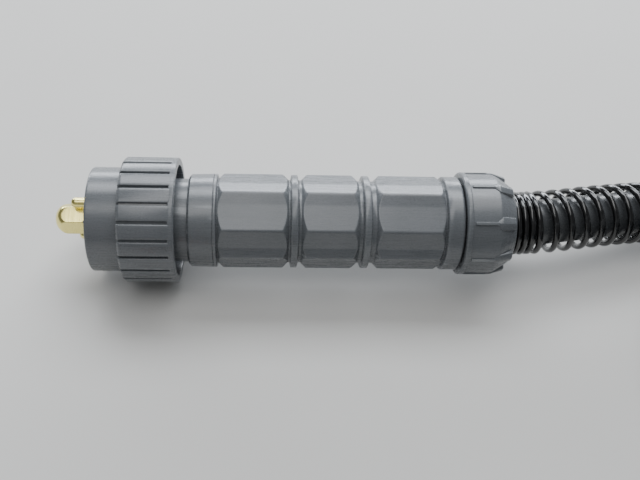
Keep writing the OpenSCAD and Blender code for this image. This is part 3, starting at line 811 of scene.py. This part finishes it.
def liner_nut_loops(around=240):
    """A hexagon whose nose is turned to a dome, with a hole for the welding wire."""
    x0 = LINER_LO[0]
    turn = np.arange(around) / around * TAU - math.radians(23)
    hexagon = LINER_FLATS / 2 / np.cos(np.mod(turn, TAU / 6) - TAU / 12)
    dome = rounded(
        [
            (x0, WIRE_HOLE_R, 0.2), (x0, 2.7, 0.5), (x0 + 0.9, 4.3, 0.8), (x0 + 2.4, 5.6, 1.2),
            (x0 + 4.6, 6.5, 1.6), (LINER_HI[0] - 0.5, 6.5, 0), (LINER_HI[0], 6.0, 0.2),
            (LINER_HI[0], WIRE_HOLE_R, 0.1), (x0 + 2, WIRE_HOLE_R, 0),
        ],
        0.2, 6,
    )
    dense = []
    for a, b in zip(dome, np.roll(dome, -1, axis=0)):
        count = max(1, int(np.linalg.norm(b - a) / 0.35))
        dense += [a + (b - a) * k / count for k in range(count)]
    dense = np.array(dense)
    loops = np.repeat(dense[None], around, axis=0)
    blend = 0.12
    gap = hexagon[:, None] - loops[..., 1]
    loops[..., 1] = np.where(
        loops[..., 1] > 2,
        (hexagon[:, None] + loops[..., 1] - np.sqrt(gap**2 + blend**2)) / 2,
        loops[..., 1],
    )
    return loops


turned_piece("liner_nut_turned", liner_nut_loops(), PALE_BRASS, "torch", "liner_nut", "bright_brass")

for body in ("top_contact", "bottom_contact"):
    node = f"contact_pin_{body.removesuffix('_contact')}"
    (x0, _, z0), (x1, _, z1) = mm_box(node)
    turned_piece(
        f"{node}_turned",
        rounded(
            [
                (x0, 0), (x0, 1.1, 0.9), (x0 + 1.2, 2.0, 0.8), (x0 + 9, 2.0, 0.1),
                (x0 + 9.15, 1.85, 0.1), (x0 + 9.6, 1.85, 0.1), (x0 + 9.75, 2.0, 0.1),
                (x1 - 2, 2.0, 0.1), (x1 - 2, 2.5, 0.2), (x1, 2.5, 0.2), (x1, 0),
            ],
            0.2, 5,
        ),
        PALE_BRASS, body, node, "bright_brass",
        around=48,
        place=Matrix.Translation((0, 0, (z0 + z1) / 2 * MM)),
    )

softened("plug_body", 0.15, BRASS, "torch", "brass")
softened("spigot_o_ring", 0.05, BOOT_RUBBER, "torch", "rubber")
softened("plug_insulator", 0.3, BLACK_NYLON, "torch", "dark_plastic")
softened("plug_flange", 0.35, GREY_NYLON, "torch", "grey_plastic")
softened("housing_screws", 0.15, STEEL, "torch", "steel")
softened("housing_nose", 0.35, GREY_NYLON, "torch", "grey_plastic")

# ---------------------------------------------------------------- housing

HOUSE_LO, HOUSE_HI = mm_box("housing_body")
HOUSE_R = HOUSE_HI[1]
BODY_X = HOUSE_LO[0]
SEAT_LEN = 12  # the threaded seat of the collar nut, past the visible housing
SEAT_R, SEAT_BORE_R, HOUSE_BORE_R = 15.6, 14.0, 15
BODY_END = HOUSE_HI[0] - SEAT_LEN
CORE_R = HOUSE_R - 2.4
BAND_R = HOUSE_R - 0.2
CROSS_RIB_HALF = 1.5
PANELS = [
    (BODY_X + 1.5, BODY_X + 30.2), (BODY_X + 35.3, BODY_X + 58.5), (BODY_X + 65.2, BODY_END - 6.8)
]
CROSS_RIBS = [BODY_X + 32.5, BODY_X + 61.6]
RIDGES = [(0, 0), (12, 1.7), (41, 0), (71, 1.7), (94, 0), (109, 1.7), (142, 0), (168, 1.7)]


def smeared(values, spacing, sigma, axis):
    """Values blurred along an axis, so that sharp corners become small radii."""
    reach = max(1, int(3 * sigma / spacing))
    weights = np.exp(-0.5 * (np.arange(-reach, reach + 1) * spacing / sigma) ** 2)
    weights /= weights.sum()
    values = np.moveaxis(values, axis, -1)
    if axis == 0:
        padded = np.concatenate([values[..., -reach:], values, values[..., :reach]], -1)
    else:
        padded = np.pad(values, [(0, 0)] * (values.ndim - 1) + [(reach, reach)], "edge")
    done = sum(w * padded[..., k : k + values.shape[-1]] for k, w in enumerate(weights))
    return np.moveaxis(done, -1, axis)


def faceted_radius(turn):
    """The long ridges and the flat-sided valleys between them."""
    corners = [(math.radians(a + half), HOUSE_R - drop) for half in (0, 180) for a, drop in RIDGES]
    corners.append((TAU, corners[0][1]))
    made = np.zeros_like(turn)
    for (a0, r0), (a1, r1) in zip(corners, corners[1:]):
        inside = (turn >= a0) & (turn <= a1)
        t = turn[inside]
        made[inside] = r0 * r1 * math.sin(a1 - a0) / (r0 * np.sin(t - a0) + r1 * np.sin(a1 - t))
    return made


def housing_loops(around=300):
    """Faceted panels with sloping ends between the cross ribs and end bands, all edges softened."""
    spacing = 0.05
    xs = np.arange(BODY_X, BODY_END + spacing / 2, spacing)
    turn = np.arange(around) / around * TAU
    facet = smeared(faceted_radius(turn)[:, None], TAU / around * HOUSE_R, 0.3, 0)
    skin = np.full((around, len(xs)), CORE_R)
    for x0, x1 in PANELS:
        slope = CORE_R + np.minimum(xs - x0, x1 - xs)
        skin = np.maximum(skin, np.minimum(facet, slope[None]))
    for x in CROSS_RIBS:
        skin = np.maximum(skin, np.where(np.abs(xs - x) <= CROSS_RIB_HALF, BAND_R, 0)[None])
    front = np.where(xs <= PANELS[0][0], BAND_R, 0)
    back = np.where(xs >= PANELS[2][1], HOUSE_R, 0)
    skin = np.maximum(skin, np.maximum(front, back)[None])
    skin = np.minimum(skin, (HOUSE_R - 0.6 + BODY_END - xs)[None])
    skin = np.minimum(skin, (HOUSE_R - 0.55 + xs - BODY_X)[None])
    skin = smeared(skin, spacing, 0.16, 1)
    edges = [BODY_X, BODY_END, BODY_END - 0.6]
    for x0, x1 in PANELS:
        edges += [x0, x0 + 2.4, x1 - 2.4, x1]
        edges += list(np.arange(x0 + 0.3, x0 + 2.3, 0.3))
        edges += list(np.arange(x1 - 2.1, x1 - 0.2, 0.3))
    for x in CROSS_RIBS:
        edges += [x - CROSS_RIB_HALF, x + CROSS_RIB_HALF]
    near = [e + d for e in edges for d in (-0.45, -0.25, -0.1, 0, 0.1, 0.25, 0.45)]
    at = np.array(near + list(np.arange(BODY_X, BODY_END, 3.0)))
    at = np.unique(np.round(at[(at >= BODY_X) & (at <= BODY_END)] / 0.1) * 0.1)
    columns = np.clip(np.round((at - BODY_X) / spacing).astype(int), 0, len(xs) - 1)
    outside = np.stack([np.repeat(xs[columns][None], around, 0), skin[:, columns]], -1)
    inside = np.array(
        [
            (BODY_END, SEAT_R), (BODY_END + SEAT_LEN, SEAT_R), (BODY_END + SEAT_LEN, SEAT_BORE_R),
            (BODY_END - 10, SEAT_BORE_R), (BODY_END - 10, HOUSE_BORE_R), (BODY_X, HOUSE_BORE_R),
        ]
    )
    return np.concatenate([outside, np.repeat(inside[None], around, 0)], 1)


turned_piece("housing_moulding", housing_loops(), GREY_NYLON, "torch", "housing_body", "grey_plastic")

# ---------------------------------------------------------------- collar nut and spring

COLLAR_LO, COLLAR_HI = mm_box("collar_nut")
COLLAR_X, COLLAR_END = COLLAR_LO[0], COLLAR_HI[0]
COLLAR_R = COLLAR_HI[1]
FLAT_X = COLLAR_X + 2.0
TAPER_X = COLLAR_X + 11.7
MOUTH_R = 13.8
COLLAR_EDGES = 8
COLLAR_TURN = math.radians(-5)


def collar_loops(around=320):
    """Eight flats behind a round rim, then a curved taper to the spring's mouth."""
    turn = np.arange(around) / around * TAU - COLLAR_TURN
    flat = (COLLAR_R - 0.25) * math.cos(TAU / 16) / np.cos(np.mod(turn, TAU / 8) - TAU / 16)
    flat = 0.15 * flat + 0.85 * (COLLAR_R - 0.7)
    xs = np.concatenate(
        [
            [COLLAR_X, COLLAR_X + 0.12, COLLAR_X + 0.35, COLLAR_X + 0.7],
            np.linspace(COLLAR_X + 1.1, FLAT_X + 0.6, 8),
            np.linspace(FLAT_X + 1.2, TAPER_X - 1, 8),
            np.linspace(TAPER_X - 0.8, COLLAR_END - 0.6, 26),
            [COLLAR_END - 0.35, COLLAR_END - 0.15, COLLAR_END],
        ]
    )
    rim = np.where(xs < FLAT_X, COLLAR_R, 0)
    share = np.clip((xs - TAPER_X + 0.4) / (COLLAR_END - TAPER_X + 0.4), 0, 1)
    taper = COLLAR_R - 0.1 - 5.4 * share**1.45
    skin = np.maximum(np.minimum(flat[:, None], taper[None]), rim[None])
    easing = np.interp(xs - COLLAR_X, [0, 0.12, 0.35, 0.7], [0.7, 0.38, 0.12, 0])
    easing += np.interp(COLLAR_END - xs, [0, 0.15, 0.35, 0.6], [0.6, 0.3, 0.1, 0])
    skin = skin - easing[None]
    outside = np.stack([np.repeat(xs[None], around, 0), skin], -1)
    inside = np.array(
        [
            (COLLAR_END, MOUTH_R + 0.3), (COLLAR_END - 0.3, MOUTH_R), (COLLAR_X + 11, MOUTH_R),
            (COLLAR_X + 11, SEAT_R + 0.05), (COLLAR_X, SEAT_R + 0.05),
        ]
    )
    return np.concatenate([outside, np.repeat(inside[None], around, 0)], 1)


collar_core = object_of("collar_core", turned("collar_core", collar_loops()), GREY_NYLON)
RIDGE_FOOT, RIDGE_TOP = COLLAR_R - 1.8, COLLAR_R - 0.02
ridge = object_of(
    "collar_ridges",
    block(
        "collar_ridge",
        [(-0.75, RIDGE_FOOT), (0.75, RIDGE_FOOT), (0.6, RIDGE_TOP), (-0.6, RIDGE_TOP)],
        FLAT_X + 1.0, TAPER_X + 0.8,
        bevel_mm=0.14,
    ),
    GREY_NYLON,
)


def collar_tooth():
    """An arrowhead standing on the taper, its point towards the nut and a roof along its middle."""
    x0, x1, x2 = TAPER_X - 0.2, TAPER_X + 2.4, COLLAR_END - 1.6
    low = [COLLAR_R - 1.8, COLLAR_R - 3.2, COLLAR_R - 6.8]
    eave = [COLLAR_R - 0.5, COLLAR_R - 0.6, COLLAR_R - 2.7]
    roof = [COLLAR_R - 0.15, COLLAR_R - 0.05, COLLAR_R - 1.7]
    half = [0.45, 2.7, 2.3]
    verts = []
    for x, foot, edge, top, w in zip((x0, x1, x2), low, eave, roof, half):
        verts += [(x, -w, foot), (x, -w, edge), (x, 0, top), (x, w, edge), (x, w, foot)]
    faces = [[0, 1, 2, 3, 4], [14, 13, 12, 11, 10]]
    for ring in (0, 5):
        for k in range(5):
            a, b = ring + k, ring + (k + 1) % 5
            faces.append([a, b, b + 5, a + 5])
    return bevelled(closed_mesh("collar_tooth", verts, faces, smooth=False), 0.22)


tooth = object_of("collar_teeth", collar_tooth(), GREY_NYLON)
# The copies' angle starts at +Z, a quarter turn from +Y, which the eight flats allow.
for piece in (ridge, tooth):
    with_tree(
        piece, RING_TREE, {"Copies": COLLAR_EDGES, "First Angle": COLLAR_TURN, "Finish": GREY_NYLON}
    )
joined("collar_nut_moulding", [collar_core, ridge, tooth], "collar", "collar_nut", slot="grey_plastic")

spring_line = evenly(RUN, 1.0)
centre = bpy.data.meshes.new("spring_centre")
centre.from_pydata((spring_line * MM).tolist(), [(k, k + 1) for k in range(len(spring_line) - 1)], [])
spring = object_of("strain_relief_spring_wound", centre, None)
with_tree(
    spring, WIRE_TREE,
    {
        "Start": 9.2 * MM,
        "Open From": 31 * MM,
        "Close From": 86.6 * MM,
        "End": 93 * MM,
        "Closed Pitch": 2.75 * MM,
        "Open Pitch": 6.6 * MM,
        "Coil Radius": 12.1 * MM,
        "Wire Radius": 1.3 * MM,
        "Points": 560,
        "Finish": WIRE_LACQUER,
    },
)
finish_piece(spring, "torch", "strain_relief_spring", slot="black_spring")

# ---------------------------------------------------------------- torch handle

SHELL_LO, SHELL_HI = mm_box("handle_shell_upper")
BASE_LO, _ = mm_box("handle_shell_lower")
HAND_X0, HAND_X1 = SHELL_LO[0], SHELL_HI[0]
HAND_Y = (SHELL_LO[1] + SHELL_HI[1]) / 2
HAND_Z = (BASE_LO[2] + SHELL_HI[2]) / 2
HALF_W = (SHELL_HI[1] - SHELL_LO[1]) / 2
PIVOT_X = HAND_X0 + 16
SEAM = 0.08  # half the gap between the two shells


def handle_loops(upper, around=168):
    """Half of the handle: swelling under the palm, waisted behind the trigger, with grip grooves."""
    xs = np.unique(
        np.round(
            np.concatenate(
                [
                    [HAND_X0, HAND_X0 + 0.3, HAND_X0 + 0.8],
                    np.arange(HAND_X0 + 1.4, HAND_X1 - 1, 0.7),
                    [HAND_X1 - 0.8, HAND_X1 - 0.3, HAND_X1],
                ]
            ),
            2,
        )
    )
    along = (xs - HAND_X0) / (HAND_X1 - HAND_X0)
    places = [0, 0.06, 0.2, 0.42, 0.68, 0.88, 1.0]
    width = np.interp(along, places, [14.6, 17.2, 19.6, 19.95, 18.1, 18.7, 16.0])
    thick = np.interp(along, places, [13.2, 15.4, 16.7, 16.95, 15.4, 16.0, 15.2])
    width, thick = (smeared(v[None], 0.7, 4.0, 1)[0] for v in (width, thick))
    rounding = [0, 0.3, 0.8, 1.4], [1.2, 0.55, 0.15, 0]
    edge = np.interp(xs - HAND_X0, *rounding) + np.interp(HAND_X1 - xs, *rounding)
    turn = np.arange(around) / around * TAU
    power = 2.7  # of the superellipse that is the handle's section
    c, s = np.abs(np.cos(turn))[:, None], np.abs(np.sin(turn))[:, None]
    skin = ((c / width) ** power + (s / thick) ** power) ** (-1 / power) - edge
    angle = np.degrees(turn)[:, None]
    top = np.exp(-((np.abs(np.sin(turn))[:, None] - 1) ** 2) / 0.02)
    grip_x0, grip_x1, grip_pitch = 176, 240, 4.6
    zone = np.clip((xs - grip_x0) / 5, 0, 1) * np.clip((grip_x1 - xs) / 5, 0, 1)
    ribs = 0.5 * (1 - np.cos((xs - grip_x0) / grip_pitch * TAU)) ** 2 / 4
    skin = skin - 0.75 * ribs[None] * zone[None] * np.clip(1.6 * top, 0, 1)
    slot_half_w, slot_floor = 7.1, 11.2  # the opening that the trigger stands in
    in_x = np.clip((xs - PIVOT_X + 5.2) / 0.7, 0, 1) * np.clip((PIVOT_X + 45.3 - xs) / 0.7, 0, 1)
    across = np.abs(skin * np.sin(turn)[:, None])
    in_slot = (angle > 120) & (angle < 240) & (across < slot_half_w)
    skin = np.where(in_slot, skin + (slot_floor / np.maximum(c, 0.4) - skin) * in_x, skin)
    y = skin * np.cos(turn)[:, None]
    z = skin * np.sin(turn)[:, None]
    z = np.maximum(z, SEAM) if upper else np.minimum(z, -SEAM)
    return xs, y, z


def handle_half(name, upper):
    """One closed shell of the handle, flat where it meets the other."""
    xs, y, z = handle_loops(upper)
    rings = np.stack([np.repeat(xs[None], len(y), 0), y + HAND_Y, z + HAND_Z], -1).transpose(1, 0, 2)
    middle_z = HAND_Z + (SEAM if upper else -SEAM)
    return capped_tube(name, rings, [(xs[0], HAND_Y, middle_z), (xs[-1], HAND_Y, middle_z)])


def rod_cutter(x, y, z0, z1, radius):
    """A cylinder standing along Z, for a screw's well."""
    mesh = bpy.data.meshes.new("well")
    bm = bmesh.new()
    bmesh.ops.create_cone(
        bm,
        cap_ends=True,
        segments=40,
        radius1=radius * MM,
        radius2=radius * MM,
        depth=(z1 - z0) * MM,
        matrix=Matrix.Translation((x * MM, y * MM, (z0 + z1) / 2 * MM)),
    )
    bm.to_mesh(mesh)
    bm.free()
    return object_of("well", mesh, None)


SCREW_XS = [HAND_X0 + 13, HAND_X0 + 74, HAND_X1 - 14]
SCREW_Y = HAND_Y + HALF_W - 5.2


def sharpen(obj, degrees):
    bm = bmesh.new()
    bm.from_mesh(obj.data)
    shade_crisp(bm, degrees)
    bm.to_mesh(obj.data)
    bm.free()


for name, upper in (("handle_upper", True), ("handle_lower", False)):
    shell = object_of(name, handle_half(name, upper), HANDLE_NYLON)
    if upper:
        for x in SCREW_XS:
            well = rod_cutter(x, SCREW_Y, HAND_Z + 8.1, HAND_Z + 30, 2.5)
            cut = shell.modifiers.new("well", "BOOLEAN")
            cut.object = well
            cut.operation = "DIFFERENCE"
            cut.solver = "MANIFOLD"  # the exact solver leaves a stray rod here
            grown(shell)
            bpy.data.objects.remove(well)
    sharpen(shell, 38)
    finish_piece(
        shell, "torch", f"handle_shell_{'upper' if upper else 'lower'}", slot="handle_plastic"
    )
softened("handle_screws", 0.15, STEEL, "torch", "steel")
softened("trigger", 0.55, RED_NYLON, "trigger_lever", "red_plastic", angle=28)

AT_HAND = Matrix.Translation((0, HAND_Y * MM, HAND_Z * MM))


def boot_profile():
    """A cable boot with flex grooves that grow shallower towards its thin end."""
    (front, _, _), (x1, _, _) = mm_box("handle_boot")
    x0 = front + 7
    outer = [(front, 12.7), (x0, 12.7), (x0, 14.7, 0.5), (x0 + 4, 14.7, 0.8)]
    for k in range(6):
        x = x0 + 5.2 + 3.9 * k
        r = 14.5 - 0.1265 * (x - x0 - 4)
        outer += [
            (x, r - 1.2, 0.3), (x + 1.1, r - 1.3, 0.3), (x + 1.4, r - 0.1, 0.35),
            (x + 3.4, r - 0.3, 0.35),
        ]
    outer += [(x1, 11.5, 0.5), (x1, 9.6, 0.3), (front, 9.6, 0)]
    return rounded(outer, 0.3, 4)


turned_piece(
    "handle_boot_moulded", boot_profile(), BOOT_RUBBER, "torch", "handle_boot", "rubber", 96, AT_HAND
)
turned_piece(
    "neck_collar_moulded",
    rounded(
        [
            (HAND_X0 - 8, 9.05, 0.1), (HAND_X0 - 8, 10.9, 0.6), (HAND_X0 - 5.6, 11.3, 0.5),
            (HAND_X0 - 5.2, 12.4, 0.3), (HAND_X0 - 0.8, 13.9, 0.5), (HAND_X0, 13.9, 0.2),
            (HAND_X0, 11.9, 0), (HAND_X0 + 7, 11.9, 0), (HAND_X0 + 7, 9.05, 0),
        ],
        0.3, 4,
    ),
    BLACK_NYLON, "torch", "neck_collar", "dark_plastic", 96, AT_HAND,
)

# ---------------------------------------------------------------- neck and nozzle

BEND_R, BEND = 60, math.radians(45)
BEND_X = HAND_X0 - 30
TIP_X = BEND_X - BEND_R * math.sin(BEND)
TIP_Y = HAND_Y - BEND_R * (1 - math.cos(BEND))
AT_TIP = Matrix.Translation((TIP_X * MM, TIP_Y * MM, HAND_Z * MM)) @ Matrix.Rotation(
    math.pi + BEND, 4, "Z"
)


def neck_line(start_x, past):
    """Down the straight, round the bend and on past it, in millimetres."""
    straight = [(x, HAND_Y, HAND_Z) for x in np.arange(start_x, BEND_X, -2.0)]
    bend = [
        (BEND_X - BEND_R * math.sin(a), HAND_Y - BEND_R * (1 - math.cos(a)), HAND_Z)
        for a in np.linspace(0, BEND, 40)
    ]
    way = np.array([-math.cos(BEND), -math.sin(BEND), 0])
    end = [np.array(bend[-1]) + way * s for s in np.arange(1, past + 0.01, 1.0)]
    return np.array([*straight, *bend, *end])


jacket_line = neck_line(HAND_X0 + 20, 6)
run = np.concatenate([[0], np.cumsum(np.linalg.norm(np.diff(jacket_line, axis=0), axis=1))])
left = run[-1] - run
jacket_r = 9.0 - 0.5 * np.clip((2.0 - left) / 2.0, 0, 1) ** 2
finish_piece(
    object_of("neck_sleeve", swept("neck_sleeve", jacket_line, jacket_r, 48), SLEEVE_RUBBER),
    "torch", "neck_jacket",
    slot="rubber",
)

turned_piece(
    "nozzle_insulator_turned",
    rounded([(6, 6.1), (6, 10.2, 0.5), (14, 10.2, 0.2), (14, 6.1)], 0.2, 4),
    FIBRE, "torch", "nozzle_insulator", "fibre", 96, AT_TIP,
)
turned_piece(
    "gas_nozzle_drawn",
    rounded(
        [
            (8, 10.4, 0.2), (8, 12.4, 0.4), (10.2, 12.4, 0.1), (10.4, 12.05, 0.1), (11.4, 12.05, 0.1),
            (11.6, 12.4, 0.1), (13.0, 12.4, 0.1), (13.2, 12.05, 0.1), (14.2, 12.05, 0.1),
            (14.4, 12.45, 0.1), (51.2, 12.45, 6), (62, 10.5, 6), (80, 10.5, 0.5), (80, 8.5, 0.4),
            (62, 8.55, 4), (51.2, 10.4, 4),
        ],
        0.3, 8,
    ),
    COPPER, "nozzle", "gas_nozzle", "copper", 128, AT_TIP,
)
turned_piece(
    "contact_tip_turned",
    rounded(
        [
            (46, 0.6), (46, 4.0, 0.3), (49, 4.0, 0.1), (49.2, 3.75, 0.1), (66, 3.75, 0.5),
            (74, 2.5, 0.6), (74, 0.6, 0.15),
        ],
        0.2, 4,
    ),
    COPPER, "torch", "contact_tip", "copper", 72, AT_TIP,
)

# ---------------------------------------------------------------- coil ties


def tie_band(name, around_z, centre, coil_r):
    """A woven tape over the coil's top and down both of its sides, rounded over its shoulders."""
    half, width, thick, radius = 19.1, 10.0, 1.0, 9.0
    foot = mm_box("coil_ties")[0][2] + 0.4
    path = [(-half, foot)]
    for cx, start in ((-half + radius, math.pi), (half - radius, math.pi / 2)):
        for a in np.linspace(start, start - math.pi / 2, 12):
            path.append((cx + radius * math.cos(a), centre[2] + half - radius + radius * math.sin(a)))
    path = np.array([*path, (half, foot)])
    way = np.gradient(path, axis=0)
    way /= np.linalg.norm(way, axis=1)[:, None]
    out = np.stack([-way[:, 1], way[:, 0]], 1)
    rows = []
    for across in (-width / 2, -width / 2 + 0.5, width / 2 - 0.5, width / 2):
        crown = 0.3 if abs(across) == width / 2 else 0.0
        rows.append((across, path + out * crown, path + out * (thick - crown)))
    verts, faces = [], []
    n = len(path)
    loop = [(a, lo) for a, lo, _ in rows] + [(a, hi) for a, _, hi in rows[::-1]]
    for across, line in loop:
        verts += [(coil_r + r, across, z) for r, z in line]
    m = len(loop)
    for i in range(m):
        for k in range(n - 1):
            a, b = i * n + k, ((i + 1) % m) * n + k
            faces.append([a, b, b + 1, a + 1])
    faces.append([i * n for i in range(m)])
    faces.append([i * n + n - 1 for i in range(m)][::-1])
    place = Matrix.Translation((centre[0] * MM, centre[1] * MM, 0)) @ Matrix.Rotation(
        math.radians(around_z), 4, "Z"
    )
    return object_of(name, closed_mesh(name, verts, faces, place), TAPE)


ring_lo, ring_hi = mm_box("cable_coil")
coil_centre = [(a + b) / 2 for a, b in zip(ring_lo, ring_hi)]
coil_middle_r = (ring_hi[0] - ring_lo[0]) / 2 - 2 * CABLE_R
joined(
    "coil_tapes",
    [tie_band(f"tape_{k}", turn, coil_centre, coil_middle_r) for k, turn in enumerate((35, 155, 215))],
    "torch", "coil_ties",
    slot="rubber",
)

# ---------------------------------------------------------------- table and lights

TABLE_Z = cad_bounds[0][2]
table = bpy.data.meshes.new("table_top")
table.from_pydata(
    [(-2.5, -2.5, TABLE_Z), (2.8, -2.5, TABLE_Z), (2.8, 2.5, TABLE_Z), (-2.5, 2.5, TABLE_Z)],
    [],
    [(0, 1, 2, 3)],
)
paper, paper_tree, paper_shader, paper_place = new_finish("pale_table_paper")
paper_tone = tint(paper_tree, mottle(paper_tree, paper_place, 60), "#cfcecb", "#d3d2cf")
feed(paper_tree, paper_shader, {"Base Color": paper_tone, "Roughness": 0.8})
table_top = object_of("table_top", table, paper)


def soft_light(name, place, aim, size, power, colour="#ffffff"):
    lamp = bpy.data.lights.new(name, "AREA")
    lamp.shape = "RECTANGLE"
    lamp.size, lamp.size_y = size
    lamp.energy = power
    lamp.color = hex_colour(colour)[:3]
    obj = bpy.data.objects.new(name, lamp)
    bpy.context.collection.objects.link(obj)
    obj.location = place
    obj.rotation_mode = "QUATERNION"
    obj.rotation_quaternion = (Vector(aim) - Vector(place)).to_track_quat("-Z", "Y")


soft_light("window_behind", (0.12, 0.75, 1.1), (0.1, 0, 0), (1.5, 0.55), 19, "#f6faff")
soft_light("window_low", (0.12, 1.2, 0.303), (0.1, 0, 0), (2.6, 0.27), 30, "#f3f8ff")
soft_light("overhead", (0.12, -0.07, 1.3), (0.1, -0.05, 0), (1.6, 0.6), 9)
soft_light("fill_front", (-0.5, -1.3, 0.9), (0.1, 0, 0), (1.2, 1.2), 0.6)
world = bpy.data.worlds.new("studio")
world.use_nodes = True
world.node_tree.nodes["Background"].inputs[0].default_value = hex_colour("#e6eaee")
world.node_tree.nodes["Background"].inputs[1].default_value = 0.22
bpy.context.scene.world = world
